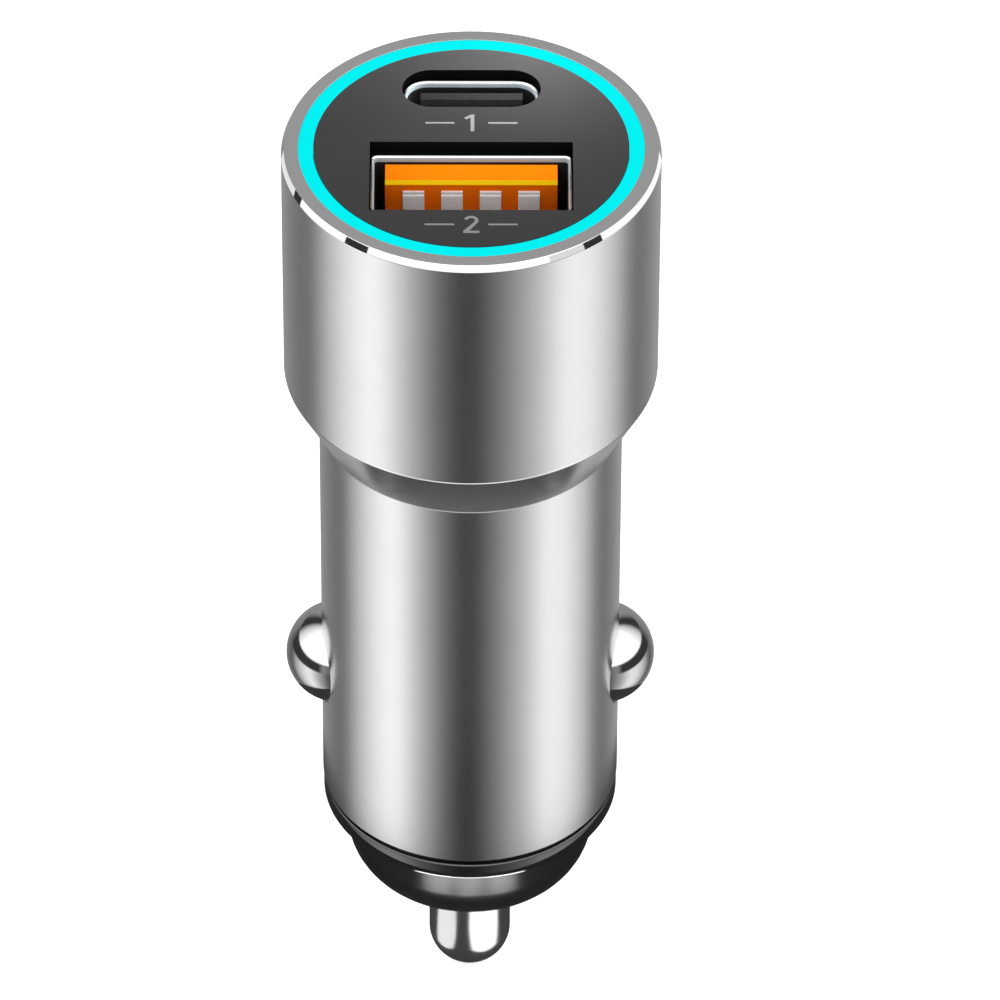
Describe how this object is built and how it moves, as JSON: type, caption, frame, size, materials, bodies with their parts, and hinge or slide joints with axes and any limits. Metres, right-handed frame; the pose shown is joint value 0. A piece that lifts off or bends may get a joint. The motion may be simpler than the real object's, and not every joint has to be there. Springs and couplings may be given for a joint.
{
  "type": "car usb charger plug",
  "caption": "Round metal car charger plug with a wide head, a light ring, USB-A and USB-C ports in its face, sprung side contacts and a sprung centre pin.",
  "frame": {"origin": "centre of the barrel's top end, where the neck begins and the socket's mouth lies when the plug is in", "axes": "+Z along the barrel, out of the socket towards the port face; +X through the side contacts; the USB-A port lies towards -Y"},
  "size_m": [0.025, 0.0248, 0.0721],
  "materials": {
    "satin_metal": "satin, brushed round",
    "light_ring": "translucent, lit",
    "panel_grey": "fine matt",
    "port_steel": "plated",
    "orange_plastic": "smooth",
    "contact_metal": "plated",
    "port_steel_c": "plated",
    "dark_plastic": "smooth",
    "contact_metal_c": "plated",
    "board_green": "solder mask",
    "led_white": "moulded",
    "main_board_green": "solder mask",
    "ferrite": "moulded",
    "chip_black": "moulded",
    "ceramic_tan": "fired",
    "fuse_white": "fired",
    "can_aluminium": "drawn",
    "carrier_white": "moulded",
    "left_chrome": "polished",
    "right_chrome": "polished",
    "strap_brass": "plain",
    "terminal_brass": "plain",
    "nose_black": "gloss",
    "pin_chrome": "polished",
    "left_spring_steel": "drawn wire",
    "right_spring_steel": "drawn wire",
    "pin_spring_steel": "drawn wire"
  },
  "bodies": {
    "charger": {"housing": "satin_metal", "light_ring": "light_ring", "face_panel": "panel_grey", "usb_a_shell": "port_steel", "usb_a_insulator": "orange_plastic", "usb_a_contacts": "contact_metal", "usb_c_shell": "port_steel_c", "usb_c_insulator": "dark_plastic", "usb_c_contacts": "contact_metal_c", "port_board": "board_green", "ring_leds": "led_white", "main_board": "main_board_green", "inductors": "ferrite", "controller_chips": "chip_black", "chip_capacitors": "ceramic_tan", "input_fuse": "fuse_white", "capacitors": "can_aluminium", "contact_carrier": "carrier_white", "ground_strap": "strap_brass", "positive_terminal": "terminal_brass", "nose_cap": "nose_black", "left_contact_spring": "left_spring_steel", "right_contact_spring": "right_spring_steel", "pin_spring": "pin_spring_steel"},
    "pin": {"centre_pin": "pin_chrome"},
    "left_side_contact": {"left_contact": "left_chrome"},
    "right_side_contact": {"right_contact": "right_chrome"}
  },
  "joints": [
    {"name": "pin_press", "type": "slide", "parent": "charger", "child": "pin", "axis": [0, 0, 1], "range_m": [0, 0.0025], "stiffness_N_per_m": 1500, "deforming": ["pin_spring"]},
    {"name": "left_contact_press", "type": "slide", "parent": "charger", "child": "left_side_contact", "axis": [1, 0, 0], "range_m": [0, 0.0022], "stiffness_N_per_m": 800, "deforming": ["left_contact_spring"]},
    {"name": "right_contact_press", "type": "slide", "parent": "charger", "child": "right_side_contact", "axis": [-1, 0, 0], "range_m": [0, 0.0022], "stiffness_N_per_m": 800, "deforming": ["right_contact_spring"]}
  ]
}
